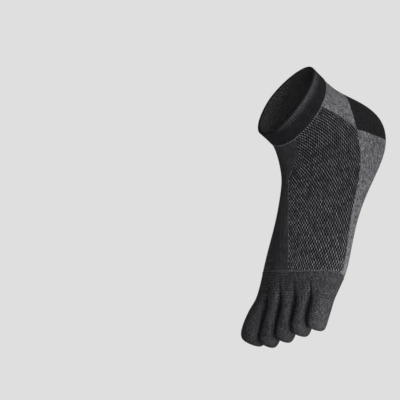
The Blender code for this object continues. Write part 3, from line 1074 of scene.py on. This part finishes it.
def mesh_knit(name):
    """Open mesh: eyelets in staggered rows darkened as painted shade, a dark ground and light slanting
    threads.
    """
    pitch = knit()
    tone = colours()
    graph = Graph(name)
    across, along = graph.place_in_knit()
    row = (along / pitch.cell_height).floor()
    p = across / pitch.cell_width + (row * 0.5).fract()
    fx = p.fract() - 0.5
    fy = (along / pitch.cell_height).fract() - 0.5
    shaded_eyelet = 1.0 - (((fx / EYELET_SHADE[0]) ** 2.0 + (fy / EYELET_SHADE[1]) ** 2.0) ** 0.5).ramp(*HOLE_EDGE)
    gx = (p + 0.5).fract() - 0.5
    thread = 1.0 - abs(gx - fy * THREAD_LEAN).ramp(*THREAD_EDGE)
    thread = thread * (1.0 - abs(fy).ramp(*THREAD_END))
    chance = graph.dice((p + 0.5).floor(), row)
    fine = graph.fuzz(across, along, 2400.0, 2400.0)
    cloud = graph.noise(graph.solid_place(), 160.0, 2.0, 0.5)
    light = thread * (chance * 0.75 + 0.25 + (cloud - 0.5) * 0.8)
    ground = graph.blend(
        fine.ramp(0.25, 0.75), [0.6 * part for part in tone.ground], [1.5 * part for part in tone.ground],
    )
    cloth = graph.blend(light, ground, tone.thread)
    # Painted shade: each eyelet is darkened where one would see into the sock.
    colour = graph.blend(shaded_eyelet, cloth, EYELET_SHADE_COLOUR)
    height = (1.0 - shaded_eyelet) * 0.7 + thread * 0.5 + fine * 0.15
    return graph.surface(colour, height, 0.0006)


def yarn(name, colour):
    """Plain twisted yarn."""
    graph = Graph(name)
    fine = graph.noise(graph.solid_place(), 900.0, 2.0, 0.6)
    return graph.surface(graph.scale(colour, fine * 0.8 + 0.6), fine, 0.0002)


def finishes():
    """All cloth finishes, made once and kept by name."""
    if "cuff rib and rim highlight" not in bpy.data.materials:
        tone = colours()
        pitch = knit()
        rib_knit("cuff rib and rim highlight", tone.black_low, tone.black_high, pitch.rib, pitch.course, highlight_band=RIM_HIGHLIGHT_BAND)
        rib_knit("lining", tone.lifted_lining_low, tone.lifted_lining_high, pitch.rib, pitch.course, deep=DEEP_LIGHT_BAND)
        rib_knit("strip knit", tone.strip_low, tone.strip_high, pitch.strip_rib, pitch.course)
        plain_knit(
            "heel knit", tone.heel_low, tone.heel_high, pitch.wale, pitch.course, spread=0.4, shade=0.8,
            rough=1.0,
        )
        plain_knit(
            "sole marl", tone.grey_low, tone.grey_high, pitch.wale, pitch.course, spread=0.7, shade=0.6,
            rough=1.0,
        )
        plain_knit(
            "toe marl", tone.toe_low, tone.toe_high, pitch.toe_wale, pitch.toe_course, spread=0.8,
            shade=1.0, rough=0.8,
        )
        mesh_knit("eyelet mesh")
        yarn("cuff yarn", tone.cuff_yarn)
        yarn("toe yarn", tone.toe_yarn)
    return bpy.data.materials


def seam_path(zone):
    """The line round the skin where a zone starts: its points and the skin's normals, in order."""
    form = bmesh.new()
    form.from_mesh(sock_skin())
    layer = form.faces.layers.int["zone"]
    wanted = ZONES.index(zone)
    beside = {}
    for edge in form.edges:
        kinds = [face[layer] for face in edge.link_faces]
        if len(kinds) == 2 and kinds.count(wanted) == 1:
            first, second = edge.verts
            beside.setdefault(first, []).append(second)
            beside.setdefault(second, []).append(first)
    longest = []
    left = dict.fromkeys(beside)
    while left:
        here = next(iter(left))
        del left[here]
        path = [here]
        while True:
            ahead = [vert for vert in beside[here] if vert in left]
            if not ahead:
                break
            here = ahead[0]
            del left[here]
            path.append(here)
        if len(path) > len(longest):
            longest = path
    found = [(vert.co.copy(), vert.normal.copy()) for vert in longest]
    form.free()
    return found


def linking(row):
    """A row of small stitches along a seam, from its line in the table."""
    path = seam_path(row.zone)
    path.append(path[0])
    points = np.array([point for point, normal in path])
    normals = np.array([normal for point, normal in path])
    run = np.concatenate(([0.0], np.cumsum(np.linalg.norm(np.diff(points, axis=0), axis=1))))
    count = int(run[-1] / row.pitch)
    form = bmesh.new()
    for index in range(count):
        at = (index + 0.5) * run[-1] / count
        spots = [
            Vector([float(np.interp(at + step, run, points[:, axis])) for axis in range(3)])
            for step in (-0.5 * row.pitch, 0.0, 0.5 * row.pitch)
        ]
        out = Vector([float(np.interp(at, run, normals[:, axis])) for axis in range(3)]).normalized()
        way = (spots[2] - spots[0]).normalized()
        across = out.cross(way).normalized()
        if across.z > 0.0:
            across, way = -across, -way
        way = (way + across * row.lean).normalized()
        side = out.cross(way).normalized()
        turn = Matrix((way, side, out)).transposed().to_4x4()
        centre = spots[1] + across * row.aside
        size = Matrix.Diagonal((*row.bead, 1.0))
        bmesh.ops.create_icosphere(
            form, subdivisions=2, radius=1.0, matrix=Matrix.Translation(centre) @ turn @ size,
        )
    for face in form.faces:
        face.smooth = True
    mesh = mesh_of(form, row.name)
    mesh.materials.append(finishes()[row.finish])
    piece = object_of(mesh, row.name)
    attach(piece, "root")


class TOESOCK_OT_cuff(bpy.types.Operator):
    """Knits the folded cuff with its rounded rim"""

    bl_idname = "toesock.cuff"
    bl_label = "Cuff"

    def execute(self, context):
        size = sizes()
        mesh = mesh_of(zone_form("cuff"), "knit_cuff")
        offset = -1.0 + 2.0 * size.cuff_proud / size.cuff_wall
        piece = finish_piece(
            "knit_cuff", mesh, size.cuff_wall, offset, finishes()["cuff rib and rim highlight"], ["cuff"],
            rim=0,
        )
        form = bmesh.new()
        form.from_mesh(piece.data)
        hard = [
            edge for edge in form.edges
            if not edge.smooth and edge.calc_face_angle(0.0) > HARD_ANGLE
        ]
        bmesh.ops.bevel(
            form, geom=hard, affect="EDGES", offset=size.cuff_wall * RIM_ROUND, segments=4,
            profile=0.5, material=-1, clamp_overlap=True,
        )
        for edge in form.edges:
            edge.smooth = True
        form.to_mesh(piece.data)
        form.free()
        return {"FINISHED"}


class TOESOCK_OT_mesh_panels(bpy.types.Operator):
    """Knits the two panels of open mesh beside the strip"""

    bl_idname = "toesock.mesh_panels"
    bl_label = "Mesh panels"

    def execute(self, context):
        cloth = finishes()["eyelet mesh"]
        mesh_zone("knit_outer_mesh", "outer_mesh", cloth, ["outer_mesh"])
        mesh_zone("knit_inner_mesh", "inner_mesh", cloth, ["inner_mesh"])
        return {"FINISHED"}


class TOESOCK_OT_strip(bpy.types.Operator):
    """Knits the plain dark strip on the instep"""

    bl_idname = "toesock.strip"
    bl_label = "Instep strip"

    def execute(self, context):
        plain_zone("knit_strip", "instep_strip", finishes()["strip knit"], ["instep_strip"])
        return {"FINISHED"}


class TOESOCK_OT_marl(bpy.types.Operator):
    """Knits the grey marl of the sole and behind the ankle"""

    bl_idname = "toesock.marl"
    bl_label = "Grey marl"

    def execute(self, context):
        cloth = finishes()["sole marl"]
        plain_zone("knit_ankle_back", "ankle_back", cloth, ["ankle_back"])
        plain_zone("knit_sole", "sole", cloth, ["sole"])
        return {"FINISHED"}


class TOESOCK_OT_heel(bpy.types.Operator):
    """Knits the black heel pocket"""

    bl_idname = "toesock.heel"
    bl_label = "Heel pocket"

    def execute(self, context):
        plain_zone("knit_heel", "heel_pocket", finishes()["heel knit"], ["heel_pocket"])
        return {"FINISHED"}


class TOESOCK_OT_toes(bpy.types.Operator):
    """Knits the forefoot and the five toes as one piece"""

    bl_idname = "toesock.toes"
    bl_label = "Toe section"

    def execute(self, context):
        nodes = ["forefoot"] + [toe.name for toe in TOES]
        plain_zone("knit_toes", "toe_section", finishes()["toe marl"], nodes)
        return {"FINISHED"}


class TOESOCK_OT_linking(bpy.types.Operator):
    """Sets the rows of small stitches along the cuff's seam and the toe seam"""

    bl_idname = "toesock.linking"
    bl_label = "Linking stitches"

    def execute(self, context):
        for row in LINKINGS:
            linking(row)
        return {"FINISHED"}


class TOESOCK_OT_stage(bpy.types.Operator):
    """Sets the pale floor, the soft lights and the camera"""

    bl_idname = "toesock.stage"
    bl_label = "Stage"

    def execute(self, context):
        scene = context.scene
        pale = colours().backdrop
        form = bmesh.new()
        bmesh.ops.create_grid(form, x_segments=8, y_segments=8, size=FLOOR_HALF)
        bmesh.ops.translate(form, verts=form.verts, vec=(0.0, 0.0, -FLOOR_DROP))
        floor = object_of(mesh_of(form, "pale_floor"), "pale_floor")
        graph = Graph("pale floor")
        for name, value in (
            ("Base Color", (0.0, 0.0, 0.0, 1.0)),
            ("Roughness", 1.0),
            ("Specular IOR Level", 0.0),
            ("Emission Color", (*pale, 1.0)),
            ("Emission Strength", 1.0),
        ):
            graph.shader.inputs[name].default_value = value
        floor.data.materials.append(graph.material)

        world = bpy.data.worlds.new("pale room")
        world.use_nodes = True
        tree = world.node_tree
        seen = tree.nodes["Background"]
        seen.inputs["Color"].default_value = (*pale, 1.0)
        lit = tree.nodes.new("ShaderNodeBackground")
        lit.inputs["Color"].default_value = (1.0, 1.0, 1.0, 1.0)
        lit.inputs["Strength"].default_value = ROOM_LIGHT
        rays = tree.nodes.new("ShaderNodeLightPath")
        choice = tree.nodes.new("ShaderNodeMixShader")
        tree.links.new(rays.outputs["Is Camera Ray"], choice.inputs[0])
        tree.links.new(lit.outputs[0], choice.inputs[1])
        tree.links.new(seen.outputs[0], choice.inputs[2])
        tree.links.new(choice.outputs[0], tree.nodes["World Output"].inputs["Surface"])
        scene.world = world
        scene.view_settings.view_transform = "Standard"

        for row in LAMPS:
            lamp = bpy.data.lights.new(row.name, "AREA")
            lamp.energy = row.power
            lamp.size = row.width
            lamp.spread = math.radians(row.spread)
            light = object_of(lamp, row.name)
            light.location = row.place
            sight = light.location - Vector(row.aim)
            light.rotation_mode = "QUATERNION"
            light.rotation_quaternion = sight.to_track_quat("Z", "Y")
            light.visible_camera = False

        lens = bpy.data.cameras.new("camera")
        lens.sensor_width = SENSOR
        lens.lens = LENS
        lens.clip_start = 0.01
        lens.clip_end = 50.0
        camera = object_of(lens, "camera")
        turn = Matrix((Vector(CAMERA_RIGHT), -Vector(CAMERA_DOWN), -Vector(CAMERA_AHEAD)))
        camera.matrix_world = Matrix.Translation(CAMERA_PLACE) @ turn.transposed().to_4x4()
        scene.camera = camera
        return {"FINISHED"}


class TOESOCK_PT_panel(bpy.types.Panel):
    """Sizes, colours and pieces of the toe sock"""

    bl_idname = "TOESOCK_PT_panel"
    bl_label = "Toe Sock"
    bl_space_type = "VIEW_3D"
    bl_region_type = "UI"
    bl_category = "Toe Sock"

    def draw(self, context):
        layout = self.layout
        for group in (sizes(), knit(), colours()):
            box = layout.box()
            for name in group.__annotations__:
                box.prop(group, name)
        for step in STEPS:
            layout.operator(step.bl_idname)


STEPS = (
    TOESOCK_OT_stage,
    TOESOCK_OT_cuff,
    TOESOCK_OT_mesh_panels,
    TOESOCK_OT_strip,
    TOESOCK_OT_marl,
    TOESOCK_OT_heel,
    TOESOCK_OT_toes,
    TOESOCK_OT_linking,
)
GROUPS = (
    ("toe_sock_sizes", SockSizes),
    ("toe_sock_knit", SockKnit),
    ("toe_sock_colours", SockColours),
)


def register():
    """Registers the classes and hangs the values on the scene."""
    for name, group in GROUPS:
        bpy.utils.register_class(group)
        setattr(bpy.types.Scene, name, bpy.props.PointerProperty(type=group))
    for step in STEPS:
        bpy.utils.register_class(step)
    bpy.utils.register_class(TOESOCK_PT_panel)


def unregister():
    """Takes back what register did."""
    bpy.utils.unregister_class(TOESOCK_PT_panel)
    for step in reversed(STEPS):
        bpy.utils.unregister_class(step)
    for name, group in reversed(GROUPS):
        delattr(bpy.types.Scene, name)
        bpy.utils.unregister_class(group)


def main():
    """Makes the stage and every piece in order."""
    register()
    for step in STEPS:
        area, action = step.bl_idname.split(".")
        getattr(getattr(bpy.ops, area), action)()


if __name__ == "__main__":
    main()
